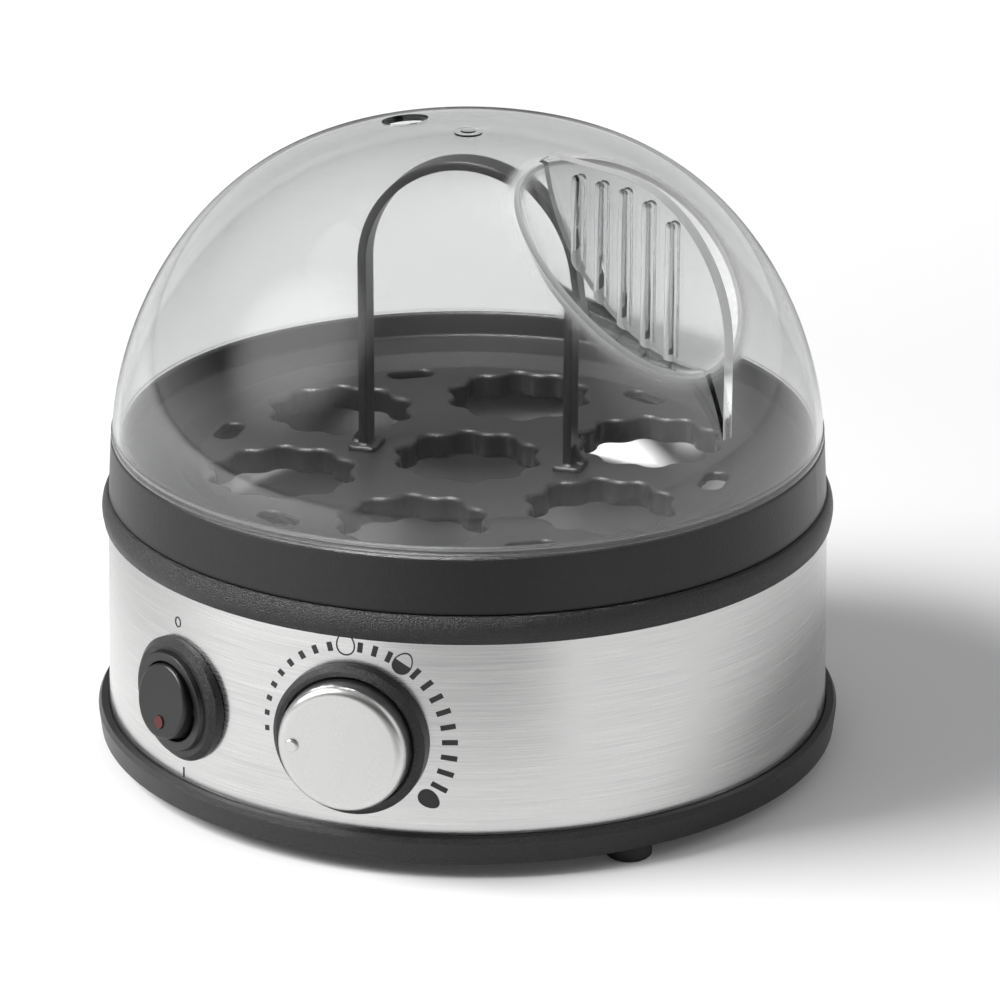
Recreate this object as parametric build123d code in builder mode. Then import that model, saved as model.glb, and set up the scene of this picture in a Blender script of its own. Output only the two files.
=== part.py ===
"""Electric egg cooker: base with heater, dial and rocker switch, lift-out egg tray and clear lid.

Units are millimetres. Z is up, the origin is on the table below the middle of the object,
and the front, with the dial, faces -Y. Azimuths are counted from the front, towards +X.
"""
import os
from math import acos, atan2, cos, pi, radians, sin, sqrt, tan
from build123d import *

# General clearances
seat_gap = 0.1
lift_gap = 0.3
running_gap = 0.05

# Steel band round the base
band_foot_radius = 88.5
band_taper = 0.9
band_foot_z = 7.0
band_head_z = 60.0
band_thickness = 0.6

# Base tray, feet and screws
foot_height = 4.0
foot_radius = 5.5
foot_setback = 4.0
foot_recess = 1.0
floor_thickness = 2.2
skirt_edge_overhang = 2.1
skirt_wide_overhang = 2.7
skirt_wide_z = 9.3
skirt_top_z = 10.6
skirt_rib = 2.0
vent_count = 12
vent_width = 2.6
vent_inner = 26.0
vent_outer = 44.0
post_count = 3
post_azimuth = 30.0
post_setback = 10.0
post_radius = 5.0
foot_lead_angle = 13.0
boss_top_z = 13.0
screw_radius = 1.6
screw_head_radius = 3.1
screw_head_height = 2.2
screw_bite = 12.0
screw_recess_depth = 4.0

# Collar on top of the band
collar_low_z = 58.4
collar_top_z = 64.9
collar_overhang = 1.5
collar_top_setback = 1.2
collar_lip_round = 1.6
well_inset = 4.6
ledge_z = 61.4
ledge_width = 8.6
collar_rib_depth = 3.6
collar_rib_width = 1.8

# Water dish, seal and heater
dish_thickness = 0.8
dish_flange_gap = 3.6
dish_wall_gap = 0.6
dish_wall_slant = 9.8
dish_floor_z = 50.0
dish_round = 7.0
seal_thickness = 1.0
seal_width = 4.4
spreader_radius = 43.0
spreader_thickness = 2.5
element_ring_radius = 33.0
element_tube_radius = 3.2
element_arc_angle = 300.0
element_pin_radius = 1.6
element_pin_length = 9.0
thermostat_radius = 8.0
thermostat_height = 6.0
thermostat_offset = 17.0
thermostat_lug = 10.5
fuse_radius = 2.0
fuse_length = 20.0
stud_radius = 2.5
stud_length = 17.0
bridge_azimuth = 60.0
bridge_width = 12.0
bridge_thickness = 1.5
bridge_tab_reach = 0.4
bridge_tab_length = 6.9
bridge_slope_reach = 5.5
bridge_z = 36.0
nut_height = 3.2
nut_across_flats = 8.0

# Cord inlet and terminals
gland_z = 20.0
gland_bore_radius = 3.4
gland_body_radius = 5.2
gland_flange_radius = 7.0
gland_flange_thickness = 1.8
gland_inner_length = 8.0
terminal_length = 24.0
terminal_depth = 10.0
terminal_height = 9.0
terminal_y = 58.0
terminal_hole_radius = 1.7
terminal_ways = 3

# Dial
dial_azimuth = -1.4
dial_z = 33.3
surround_radius = 18.5
surround_height = 3.0
surround_wall = 2.2
surround_floor = 1.6
surround_chamfer = 1.1
knob_radius = 15.6
knob_draft = 1.0
knob_height = 8.6
knob_skirt_gap = 0.9
knob_wall = 1.5
knob_edge_round = 2.2
pointer_radius = 1.6
pointer_circle = 11.6
pointer_height = 0.8
shaft_radius = 3.0
shaft_flat = 2.3
hub_wall = 2.4
bush_radius = 4.6
bush_reach = 4.6
regulator_width = 30.0
regulator_tall = 34.0
regulator_depth = 19.0
regulator_nut_flats = 13.0
regulator_nut_height = 1.8
tag_width = 4.8
tag_length = 6.0
tag_thickness = 0.8

# Rocker switch
switch_azimuth = -33.9
switch_z = 31.5
bezel_radius = 15.2
bezel_height = 2.4
bezel_chamfer = 1.4
switch_flange_radius = 12.4
switch_flange_height = 1.2
switch_barrel_radius = 10.9
switch_well_radius = 9.9
switch_well_depth = 5.6
switch_depth = 20.0
rocker_radius = 9.1
rocker_thickness = 5.6
rocker_edge_round = 0.8
rocker_tilt = 11.0
rocker_pivot_radius = 1.2
lens_radius = 1.5
lens_offset = 5.0
lens_depth = 1.6
lens_proud = 0.3

# Egg tray
tray_foot_reach = 4.4
tray_draft = 0.75
shoulder_z = 79.0
tray_wall = 2.2
lip_thickness = 1.4
lip_height = 1.7
plate_z = 71.6
plate_thickness = 2.0
plate_radius = 65.5
ramp_width = 5.5
ramp_height = 2.3
spigot_thickness = 1.6
spigot_low_z = 62.4
egg_ring_radius = 46.0
egg_ring_count = 6
egg_hole_radius = 17.1
egg_lobes = 10
egg_lobe_rise = 1.0
sleeve_wall = 1.5
sleeve_depth = 6.2
hole_edge = 1.0
tray_slot_circle = 61.5
tray_slot_length = 12.0
tray_slot_width = 6.0

# Tray handle
handle_half_span = 25.8
handle_headroom = 6.9
handle_thickness = 2.0
handle_width = 6.5
handle_foot_size = 9.5
handle_foot_thickness = 1.2
handle_gusset = 4.5
handle_barb = 1.0
handle_barb_height = 1.6

# Lid
lid_inset = 0.35
lid_height = 74.5
lid_wall = 1.6
lid_side_power = 0.7277
lid_crown_power = 1.199
lid_flange_reach = 0.25
lid_flange_height = 1.6
fin_azimuth = 62.6
fin_thickness = 3.0
fin_inset = 3.1
fin_inner_reach = 51.2
fin_round = 35.0
fin_above_crown = 0.6
scoop_inset = 13.1
scoop_centre_height = 81.4
scoop_radius = 48.0
scoop_half_width = 35.3
rib_count = 5
rib_first_reach = 36.5
rib_pitch = 7.35
rib_radius = 1.5
rib_sink = 0.3
rib_margin = 2.6
vent_hole_radius = 5.6
vent_hole_circle = 21.4
vent_azimuth = -118.5
crown_nub_radius = 3.4
crown_nub_height = 0.5
crown_tip_radius = 2.2
crown_tip_height = 1.1
crown_tip_slope = 30.0


def around(radius, azimuth, z=0.0):
    """A point at a radius and azimuth, counted from the front towards +X."""
    return (radius * sin(radians(azimuth)), -radius * cos(radians(azimuth)), z)


def outward_plane(distance, azimuth, z):
    """A plane whose normal points away from the middle and whose local Y is up."""
    tangent = (cos(radians(azimuth)), sin(radians(azimuth)), 0)
    normal = (sin(radians(azimuth)), -cos(radians(azimuth)), 0)
    return Plane(origin=around(distance, azimuth, z), x_dir=tangent, z_dir=normal)


def band_radius_at(z):
    """Outer radius of the slightly tapered band at a height."""
    share = (z - band_foot_z) / (band_head_z - band_foot_z)
    return band_foot_radius + share * (band_head_radius - band_foot_radius)


def band_section(outside, inside, low, high):
    """Corner points of a strip that follows the band, grown by a gap on each side."""
    return [
        (band_radius_at(low) - band_thickness - inside, low),
        (band_radius_at(low) + outside, low),
        (band_radius_at(high) + outside, high),
        (band_radius_at(high) - band_thickness - inside, high),
    ]


def band_block(low, high, growth):
    """A solid cone that ends at the band's outer face plus a growth, for trimming what sits on it."""
    with BuildPart() as block:
        with BuildSketch(Plane.XZ):
            with BuildLine():
                Polyline((0, low), (band_radius_at(low) + growth, low),
                         (band_radius_at(high) + growth, high), (0, high), close=True)
            make_face()
        revolve(axis=Axis.Z)
    return block.part


def spread(count, first, radius):
    """Azimuths and places of pieces spaced evenly on a circle."""
    return [around(radius, first + 360.0 / count * turn)[:2] for turn in range(count)]


floor_top_z = foot_height + floor_thickness
band_head_radius = band_foot_radius - band_taper
skirt_edge_radius = band_foot_radius + skirt_edge_overhang
skirt_wide_radius = band_foot_radius + skirt_wide_overhang
post_circle = band_foot_radius - post_setback
foot_circle = band_foot_radius - foot_setback
well_radius = band_head_radius - well_inset
tray_foot_radius = well_radius + tray_foot_reach
tray_shoulder_radius = tray_foot_radius - tray_draft
lid_radius = tray_shoulder_radius - lid_inset
fin_outer_radius = lid_radius - fin_inset
scoop_centre_radius = lid_radius - scoop_inset
fin_inner_radius = scoop_centre_radius - fin_inner_reach
rib_first = scoop_centre_radius - rib_first_reach
bridge_tab_outer = well_radius + bridge_tab_reach
bridge_tab_inner = bridge_tab_outer - bridge_tab_length
bridge_knee_radius = bridge_tab_inner - bridge_slope_reach
collar_wide_radius = band_head_radius + collar_overhang
collar_top_radius = collar_wide_radius - collar_top_setback
ledge_inner_radius = well_radius - ledge_width
dish_flange_radius = well_radius - dish_flange_gap
dish_wall_radius = ledge_inner_radius - dish_wall_gap
dish_floor_radius = dish_wall_radius - dish_wall_slant
collar_post_foot_z = boss_top_z
post_places = spread(post_count, post_azimuth, post_circle)
foot_places = spread(post_count, post_azimuth + foot_lead_angle, foot_circle)
dish_flange_z = ledge_z + seal_thickness
spreader_top_z = dish_floor_z - dish_thickness
spreader_low_z = spreader_top_z - spreader_thickness
dial_band_radius = band_radius_at(dial_z)
switch_band_radius = band_radius_at(switch_z)
gland_band_radius = band_radius_at(gland_z)
lip_outer_radius = lid_radius - lid_wall - lift_gap
lip_inner_radius = lip_outer_radius - lip_thickness
lip_top_z = shoulder_z + lip_height
plate_low_z = plate_z - plate_thickness
crown_z = shoulder_z + lid_height
handle_top_z = crown_z - handle_headroom


def cheek_drop(half_width, radius):
    """How far a curved wall falls back over a half width."""
    return radius - sqrt(radius ** 2 - half_width ** 2)


# Base tray: moulded floor and skirt that holds the foot of the band
with BuildPart() as base_tray:
    channel_wall = band_radius_at(band_foot_z) - band_thickness - seat_gap
    with BuildSketch(Plane.XZ):
        with BuildLine():
            Polyline(
                (0, foot_height),
                (skirt_edge_radius, foot_height),
                (skirt_wide_radius, skirt_wide_z),
                (skirt_wide_radius - 0.7, skirt_top_z),
                (band_radius_at(skirt_top_z) + seat_gap + 0.3, skirt_top_z),
                (band_radius_at(skirt_top_z) + seat_gap, skirt_top_z - 0.3),
                (band_radius_at(band_foot_z) + seat_gap, band_foot_z),
                (channel_wall, band_foot_z),
                (channel_wall - 0.3, skirt_top_z + 1.5),
                (channel_wall - skirt_rib, skirt_top_z + 1.5),
                (channel_wall - skirt_rib, floor_top_z),
                (0, floor_top_z),
                close=True,
            )
        make_face()
    revolve(axis=Axis.Z)
    with BuildSketch(Plane.XY.offset(foot_height)):
        with Locations(*post_places):
            Circle(post_radius)
    extrude(amount=boss_top_z - foot_height)
    with BuildSketch(Plane.XY.offset(foot_height)):
        with Locations(*post_places):
            Circle(screw_head_radius + 0.3)
    extrude(amount=screw_recess_depth, mode=Mode.SUBTRACT)
    with BuildSketch(Plane.XY.offset(foot_height)):
        with Locations(*post_places):
            Circle(screw_radius + 0.2)
    extrude(amount=boss_top_z - foot_height, mode=Mode.SUBTRACT)
    with BuildSketch(Plane.XY.offset(foot_height)):
        with Locations(*foot_places):
            Circle(foot_radius + seat_gap)
    extrude(amount=foot_recess, mode=Mode.SUBTRACT)
    with BuildSketch(Plane.XY.offset(foot_height)):
        with PolarLocations((vent_inner + vent_outer) / 2, vent_count):
            SlotOverall(vent_outer - vent_inner, vent_width)
    extrude(amount=floor_thickness, mode=Mode.SUBTRACT)
base_tray.part.label = "base_tray"

# Rubber feet pressed into recesses of the floor
with BuildPart() as rubber_feet:
    with BuildSketch(Plane.XY):
        with Locations(*foot_places):
            Circle(foot_radius)
    extrude(amount=foot_height + foot_recess)
    chamfer(rubber_feet.edges().group_by(Axis.Z)[0], 0.5)
rubber_feet.part.label = "rubber_feet"

# Screws that come up through the floor into the collar's posts
screw_head_seat_z = foot_height + screw_recess_depth
with BuildPart() as cover_screws:
    with BuildSketch(Plane.XY.offset(screw_head_seat_z - screw_head_height)):
        with Locations(*post_places):
            Circle(screw_head_radius)
    extrude(amount=screw_head_height)
    with BuildSketch(Plane.XY.offset(screw_head_seat_z)):
        with Locations(*post_places):
            Circle(screw_radius)
    extrude(amount=boss_top_z + screw_bite - screw_head_seat_z)
    with BuildSketch(Plane.XY.offset(screw_head_seat_z - screw_head_height)):
        with Locations(*post_places):
            Rectangle(3.6, 0.9)
            Rectangle(0.9, 3.6)
    extrude(amount=1.2, mode=Mode.SUBTRACT)
cover_screws.part.label = "cover_screws"

# Brushed steel band with its three openings
with BuildPart() as steel_band:
    with BuildSketch(Plane.XZ):
        with BuildLine():
            Polyline(*band_section(0, 0, band_foot_z, band_head_z), close=True)
        make_face()
    revolve(axis=Axis.Z)
    with BuildSketch(outward_plane(dial_band_radius - 10, dial_azimuth, dial_z)):
        Circle(bush_radius + 0.3)
    extrude(amount=20, mode=Mode.SUBTRACT)
    with BuildSketch(outward_plane(switch_band_radius - 10, switch_azimuth, switch_z)):
        Circle(switch_barrel_radius + 0.3)
    extrude(amount=20, mode=Mode.SUBTRACT)
    with BuildSketch(outward_plane(gland_band_radius - 10, 180, gland_z)):
        Circle(gland_body_radius + 0.1)
    extrude(amount=20, mode=Mode.SUBTRACT)
steel_band.part.label = "steel_band"

# Collar: seat for the egg tray, ledge for the dish, groove for the band and three posts
with BuildPart() as upper_collar:
    rib_outer = band_radius_at(collar_low_z - collar_rib_depth) - band_thickness - seat_gap - 0.2
    with BuildSketch(Plane.XZ):
        with BuildLine():
            Polyline(
                (ledge_inner_radius, collar_low_z),
                (ledge_inner_radius, ledge_z),
                (well_radius, ledge_z),
                (well_radius, collar_top_z - 0.5),
                (well_radius + 0.5, collar_top_z),
                (collar_top_radius - 0.6, collar_top_z),
                (collar_top_radius, collar_top_z - 0.4),
            )
            ThreePointArc(
                (collar_top_radius, collar_top_z - 0.4),
                (collar_wide_radius - 0.25, collar_top_z - collar_lip_round - 0.6),
                (collar_wide_radius, collar_low_z + 1.6),
            )
            Polyline(
                (collar_wide_radius, collar_low_z + 1.6),
                (collar_wide_radius - 0.3, collar_low_z),
                (rib_outer, collar_low_z),
                (rib_outer, collar_low_z - collar_rib_depth),
                (rib_outer - collar_rib_width, collar_low_z - collar_rib_depth),
                (rib_outer - collar_rib_width, collar_low_z),
                (ledge_inner_radius, collar_low_z),
            )
        make_face()
    revolve(axis=Axis.Z)
    with BuildSketch(Plane.XZ):
        with BuildLine():
            Polyline(*band_section(seat_gap, seat_gap, collar_low_z - 5, band_head_z + seat_gap), close=True)
        make_face()
    revolve(axis=Axis.Z, mode=Mode.SUBTRACT)
    with BuildSketch(Plane.XY.offset(collar_post_foot_z)):
        with Locations(*post_places):
            Circle(post_radius)
    extrude(amount=collar_low_z - collar_post_foot_z)
    with BuildSketch(Plane.XY.offset(collar_post_foot_z)):
        with Locations(*post_places):
            Circle(screw_radius + running_gap)
    extrude(amount=screw_bite + 1.0, mode=Mode.SUBTRACT)
upper_collar.part.label = "upper_collar"

# Water dish pressed from thin steel sheet
with BuildPart() as heating_dish:
    with BuildSketch(Plane.XZ):
        with BuildLine():
            FilletPolyline(
                (0, dish_floor_z - dish_thickness),
                (dish_floor_radius, dish_floor_z - dish_thickness),
                (dish_wall_radius, dish_flange_z),
                (dish_flange_radius, dish_flange_z),
                radius=[dish_round, 1.2],
            )
            offset(amount=dish_thickness, side=Side.LEFT)
        make_face()
    revolve(axis=Axis.Z)
heating_dish.part.label = "heating_dish"

# Seal between the dish's flange and the collar's ledge
with BuildPart() as dish_seal:
    with BuildSketch(Plane.XY.offset(ledge_z)):
        Circle(dish_flange_radius)
        Circle(dish_flange_radius - seal_width, mode=Mode.SUBTRACT)
    extrude(amount=seal_thickness)
dish_seal.part.label = "dish_seal"

# Aluminium spreader under the dish
with BuildPart() as heat_spreader:
    with BuildSketch(Plane.XY.offset(spreader_low_z)):
        Circle(spreader_radius)
    extrude(amount=spreader_thickness)
heat_spreader.part.label = "heat_spreader"

# Tubular element below the spreader, with a pin at each end
element_z = spreader_low_z - element_tube_radius - seat_gap
element_start = 90 + (360.0 - element_arc_angle) / 2
with BuildPart() as heating_element:
    with BuildLine(Plane.XY.offset(element_z)) as element_path:
        CenterArc((0, 0), element_ring_radius, element_start, element_arc_angle)
    with BuildSketch(Plane(origin=element_path.line @ 0, z_dir=element_path.line % 0)):
        Circle(element_tube_radius)
    sweep(path=element_path.line)
    for end in (0, 1):
        end_point = element_path.line @ end
        end_way = element_path.line % end
        inset = element_pin_radius + 0.6
        shift = inset if end == 0 else -inset
        place = end_point + end_way * shift
        with BuildSketch(Plane.XY.offset(element_z)):
            with Locations((place.X, place.Y)):
                Circle(element_pin_radius)
        extrude(amount=-(element_tube_radius + element_pin_length))
heating_element.part.label = "heating_element"

# Disc thermostat with its two mounting lugs and two tags
thermostat_plane = Plane(origin=around(thermostat_offset, bridge_azimuth - 90, spreader_low_z), z_dir=(0, 0, 1))
with BuildPart() as thermostat:
    with BuildSketch(thermostat_plane):
        Circle(thermostat_radius)
    extrude(amount=-thermostat_height)
    with BuildSketch(thermostat_plane):
        SlotOverall(2 * thermostat_lug, 5.0)
    extrude(amount=-1.0)
    with BuildSketch(thermostat_plane.offset(-thermostat_height)):
        with Locations((-4, 0), (4, 0)):
            Rectangle(tag_thickness, tag_width)
    extrude(amount=-tag_length / 2)
thermostat.part.label = "thermostat"

# Thermal fuse in its sleeve, lying under the spreader
fuse_centre = around(thermostat_offset, bridge_azimuth + 90, spreader_low_z - fuse_radius - seat_gap)
with BuildPart() as thermal_fuse:
    with BuildSketch(Plane(origin=fuse_centre, z_dir=(1, 0, 0))):
        Circle(fuse_radius)
    extrude(amount=fuse_length / 2, both=True)
thermal_fuse.part.label = "thermal_fuse"

# Stud under the spreader, bridge that bears on the collar, and the nut that pulls them together
with BuildPart() as clamp_stud:
    with BuildSketch(Plane.XY.offset(spreader_low_z)):
        Circle(stud_radius)
    extrude(amount=-stud_length)
clamp_stud.part.label = "clamp_stud"

bridge_axis = Vector(*around(1, bridge_azimuth))
with BuildPart() as clamp_bridge:
    with BuildSketch(Plane(origin=(0, 0, 0), x_dir=bridge_axis, z_dir=bridge_axis.cross(Vector(0, 0, 1)))):
        with BuildLine():
            FilletPolyline(
                (-bridge_tab_outer, collar_low_z - bridge_thickness),
                (-bridge_tab_inner, collar_low_z - bridge_thickness),
                (-bridge_knee_radius, bridge_z),
                (bridge_knee_radius, bridge_z),
                (bridge_tab_inner, collar_low_z - bridge_thickness),
                (bridge_tab_outer, collar_low_z - bridge_thickness),
                radius=[1.7, 4.0, 4.0, 1.7],
            )
            offset(amount=bridge_thickness, side=Side.LEFT)
        make_face()
    extrude(amount=bridge_width / 2, both=True)
    with BuildSketch(Plane.XY.offset(bridge_z - 1)):
        Circle(stud_radius + 0.3)
    extrude(amount=bridge_thickness + 2, mode=Mode.SUBTRACT)
clamp_bridge.part.label = "clamp_bridge"

with BuildPart() as clamp_nut:
    with BuildSketch(Plane.XY.offset(bridge_z)):
        RegularPolygon(nut_across_flats / 2, 6, major_radius=False)
        Circle(stud_radius + running_gap, mode=Mode.SUBTRACT)
    extrude(amount=-nut_height)
clamp_nut.part.label = "clamp_nut"

# Terminal block on the floor, near the cord inlet
with BuildPart() as terminal_block:
    with BuildSketch(Plane.XY.offset(floor_top_z)):
        with Locations((0, terminal_y)):
            Rectangle(terminal_length, terminal_depth)
    extrude(amount=terminal_height)
    way_pitch = terminal_length / terminal_ways
    with BuildSketch(Plane.XZ.offset(-terminal_y + terminal_depth / 2)):
        with Locations((0, floor_top_z + terminal_height / 2)):
            with GridLocations(way_pitch, 1, terminal_ways, 1):
                Circle(terminal_hole_radius)
    extrude(amount=-terminal_depth, mode=Mode.SUBTRACT)
terminal_block.part.label = "terminal_block"

# Bush that lines the cord's inlet in the back of the band
gland_body = outward_plane(gland_band_radius, 180, gland_z)
with BuildPart() as cord_gland:
    with BuildSketch(gland_body.offset(-gland_inner_length)):
        Circle(gland_body_radius)
    extrude(amount=gland_inner_length + gland_flange_thickness)
    with BuildSketch(gland_body.offset(-1)):
        Circle(gland_flange_radius)
    extrude(amount=1 + gland_flange_thickness)
    chamfer(cord_gland.faces().sort_by(Axis.Y)[-1].outer_wire().edges(), 0.6)
    add(band_block(gland_z - 12, gland_z + 12, seat_gap), mode=Mode.SUBTRACT)
    with BuildSketch(gland_body.offset(-gland_inner_length)):
        Circle(gland_body_radius)
    extrude(amount=gland_inner_length + 1)
    with BuildSketch(gland_body.offset(-gland_inner_length)):
        Circle(gland_bore_radius)
    extrude(amount=gland_inner_length + gland_flange_thickness, mode=Mode.SUBTRACT)
cord_gland.part.label = "cord_gland"

# Black cup round the dial, held by the regulator's nut
dial_plane = outward_plane(dial_band_radius, dial_azimuth, dial_z)
with BuildPart() as dial_surround:
    with BuildSketch(dial_plane.offset(-cheek_drop(surround_radius, dial_band_radius) - 1)):
        Circle(surround_radius)
    extrude(amount=surround_height + cheek_drop(surround_radius, dial_band_radius) + 1)
    chamfer(dial_surround.faces().sort_by(Axis.Y)[0].edges(), surround_chamfer)
    with BuildSketch(dial_plane.offset(surround_floor)):
        Circle(surround_radius - surround_wall)
    extrude(amount=surround_height, mode=Mode.SUBTRACT)
    add(band_block(dial_z - 2 * surround_radius, dial_z + 2 * surround_radius, seat_gap), mode=Mode.SUBTRACT)
    with BuildSketch(dial_plane.offset(-1)):
        Circle(bush_radius + seat_gap)
    extrude(amount=surround_height + 2, mode=Mode.SUBTRACT)
dial_surround.part.label = "dial_surround"

# Heat regulator behind the band, with its threaded bush and four tags
regulator_front = dial_band_radius - band_thickness - cheek_drop(regulator_width / 2, dial_band_radius) - 0.4
regulator_plane = outward_plane(regulator_front, dial_azimuth, dial_z)
bush_tip = surround_floor + regulator_nut_height + 0.4
with BuildPart() as dial_regulator:
    with BuildSketch(regulator_plane):
        RectangleRounded(regulator_width, regulator_tall, 2.5)
    extrude(amount=-regulator_depth)
    with BuildSketch(regulator_plane):
        Circle(bush_radius)
    extrude(amount=dial_band_radius - regulator_front + bush_tip)
    with BuildSketch(regulator_plane.offset(-regulator_depth)):
        with GridLocations(regulator_width * 0.5, regulator_tall * 0.5, 2, 2):
            Rectangle(tag_thickness, tag_width)
    extrude(amount=-tag_length)
    with BuildSketch(regulator_plane.offset(-regulator_depth * 0.6)):
        Circle(shaft_radius + running_gap)
    extrude(amount=regulator_depth + dial_band_radius - regulator_front + bush_tip, mode=Mode.SUBTRACT)
dial_regulator.part.label = "dial_regulator"

with BuildPart() as regulator_nut:
    with BuildSketch(dial_plane.offset(surround_floor)):
        RegularPolygon(regulator_nut_flats / 2, 6, major_radius=False)
        Circle(bush_radius + running_gap, mode=Mode.SUBTRACT)
    extrude(amount=regulator_nut_height)
regulator_nut.part.label = "regulator_nut"

# Shaft with its flat, turning in the regulator
shaft_foot = regulator_front - regulator_depth * 0.6 + running_gap - dial_band_radius
shaft_tip = knob_height - knob_wall - running_gap
flat_start = bush_tip + 0.4
with BuildPart() as regulator_shaft:
    with BuildSketch(dial_plane.offset(shaft_foot)):
        Circle(shaft_radius)
    extrude(amount=flat_start - shaft_foot)
    with BuildSketch(dial_plane.offset(flat_start)):
        Circle(shaft_radius)
        with Locations((0, shaft_flat + shaft_radius)):
            Rectangle(2 * shaft_radius, 2 * shaft_radius, mode=Mode.SUBTRACT)
    extrude(amount=shaft_tip - flat_start)
regulator_shaft.part.label = "regulator_shaft"

# Dial knob: drawn metal cup with a hub inside and a raised pointer bead
knob_back = surround_floor + knob_skirt_gap
with BuildPart() as dial_knob:
    with BuildSketch(dial_plane.offset(knob_back)):
        Circle(knob_radius)
    extrude(amount=knob_height - knob_back, taper=knob_draft)
    fillet(dial_knob.faces().sort_by(Axis.Y)[0].edges(), knob_edge_round)
    with BuildSketch(dial_plane.offset(knob_back)):
        Circle(knob_radius - knob_wall)
        Circle(shaft_radius + hub_wall, mode=Mode.SUBTRACT)
    extrude(amount=knob_height - knob_wall - knob_back, mode=Mode.SUBTRACT)
    with BuildSketch(dial_plane.offset(knob_back)):
        Circle(shaft_radius + hub_wall)
    extrude(amount=flat_start - knob_back, mode=Mode.SUBTRACT)
    with BuildSketch(dial_plane.offset(flat_start)):
        Circle(shaft_radius + running_gap)
        with Locations((0, shaft_flat + running_gap + shaft_radius)):
            Rectangle(2 * shaft_radius, 2 * shaft_radius, mode=Mode.SUBTRACT)
    extrude(amount=knob_height - knob_wall - flat_start, mode=Mode.SUBTRACT)
    with BuildSketch(dial_plane.offset(knob_height)):
        with Locations((-pointer_circle, 0)):
            Circle(pointer_radius)
    extrude(amount=pointer_height)
    fillet(dial_knob.faces().sort_by(Axis.Y)[0].edges(), pointer_height * 0.6)
dial_knob.part.label = "dial_knob"

# Round bezel of the switch, trimmed to the band
switch_plane = outward_plane(switch_band_radius, switch_azimuth, switch_z)
switch_way = Vector(*around(1, switch_azimuth))
with BuildPart() as switch_bezel:
    with BuildSketch(switch_plane.offset(-cheek_drop(bezel_radius, switch_band_radius) - 1)):
        Circle(bezel_radius)
    extrude(amount=bezel_height + cheek_drop(bezel_radius, switch_band_radius) + 1)
    bezel_front = switch_bezel.faces().filter_by(GeomType.PLANE).sort_by(Axis(origin=(0, 0, 0), direction=switch_way))[-1]
    chamfer(bezel_front.edges(), bezel_chamfer)
    add(band_block(switch_z - 2 * bezel_radius, switch_z + 1.5 * bezel_radius, seat_gap), mode=Mode.SUBTRACT)
    with BuildSketch(switch_plane.offset(-2)):
        Circle(switch_barrel_radius + seat_gap)
    extrude(amount=bezel_height + 3, mode=Mode.SUBTRACT)
switch_bezel.part.label = "switch_bezel"

# Switch body: flange over the bezel, barrel through the band, well and pivot holes for the rocker
well_floor = bezel_height + switch_flange_height - switch_well_depth
pivot_height = well_floor + rocker_thickness * 0.5 + 1.3
rocker_axis = Vector(cos(radians(switch_azimuth)), sin(radians(switch_azimuth)), 0)
pivot_plane = Plane(origin=switch_plane.offset(pivot_height).origin, x_dir=(0, 0, 1), z_dir=rocker_axis)
rocker_pivot_reach = (switch_well_radius + switch_barrel_radius) / 2
with BuildPart() as switch_body:
    with BuildSketch(switch_plane.offset(bezel_height)):
        Circle(switch_flange_radius)
    extrude(amount=switch_flange_height, taper=20)
    with BuildSketch(switch_plane.offset(bezel_height)):
        Circle(switch_barrel_radius)
    extrude(amount=-switch_depth)
    with BuildSketch(switch_plane.offset(well_floor)):
        Circle(switch_well_radius)
    extrude(amount=switch_well_depth + 1, mode=Mode.SUBTRACT)
    with BuildSketch(pivot_plane):
        Circle(rocker_pivot_radius + running_gap)
    extrude(amount=switch_barrel_radius, both=True, mode=Mode.SUBTRACT)
    with BuildSketch(switch_plane.offset(bezel_height - switch_depth)):
        with Locations((-5, 0), (5, 0)):
            Rectangle(tag_thickness, tag_width)
    extrude(amount=-tag_length)
switch_body.part.label = "switch_body"

# Rocker disc, tilted as it stands when the switch is off, with the pocket for its lens
rocker_plane = switch_plane.offset(pivot_height).rotated((-rocker_tilt, 0, 0))
with BuildPart() as switch_rocker:
    with BuildSketch(rocker_plane.offset(-rocker_thickness * 0.3)):
        Circle(rocker_radius)
    extrude(amount=rocker_thickness)
    rocker_front = switch_rocker.faces().filter_by(GeomType.PLANE).sort_by(Axis(origin=(0, 0, 0), direction=switch_way))[-1]
    fillet(rocker_front.edges(), rocker_edge_round)
    with BuildSketch(pivot_plane):
        Circle(rocker_pivot_radius)
    extrude(amount=rocker_pivot_reach, both=True)
    with BuildSketch(rocker_plane.offset(rocker_thickness * 0.7 - lens_depth)):
        with Locations((0, -lens_offset)):
            Circle(lens_radius + seat_gap)
    extrude(amount=lens_depth + 1, mode=Mode.SUBTRACT)
switch_rocker.part.label = "switch_rocker"

with BuildPart() as indicator_lens:
    with BuildSketch(rocker_plane.offset(rocker_thickness * 0.7 - lens_depth)):
        with Locations((0, -lens_offset)):
            Circle(lens_radius)
    extrude(amount=lens_depth + lens_proud)
indicator_lens.part.label = "indicator_lens"


def scallop_sketch(centre, radius, rise, lobes):
    """Closed wavy outline round an egg's seat: outward and inward arcs that meet without a kink."""
    pitch = 2 * pi / lobes
    chord = 2 * radius * sin(pitch / 4)
    drop = radius * (1 - cos(pitch / 4))
    bulge_turn = 2 * atan2(2 * (rise + drop), chord)
    neck_sag = chord / 2 * tan((bulge_turn - pitch / 2) / 2)
    neck = radius - drop - neck_sag

    def place(turn, reach):
        return (centre[0] + reach * cos(pitch * turn), centre[1] + reach * sin(pitch * turn))

    for turn in range(lobes):
        ThreePointArc(place(turn - 0.25, radius), place(turn, radius + rise), place(turn + 0.25, radius))
        ThreePointArc(place(turn + 0.25, radius), place(turn + 0.5, neck), place(turn + 0.75, radius))


egg_places = [(0.0, 0.0)] + spread(egg_ring_count, 0, egg_ring_radius)

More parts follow.
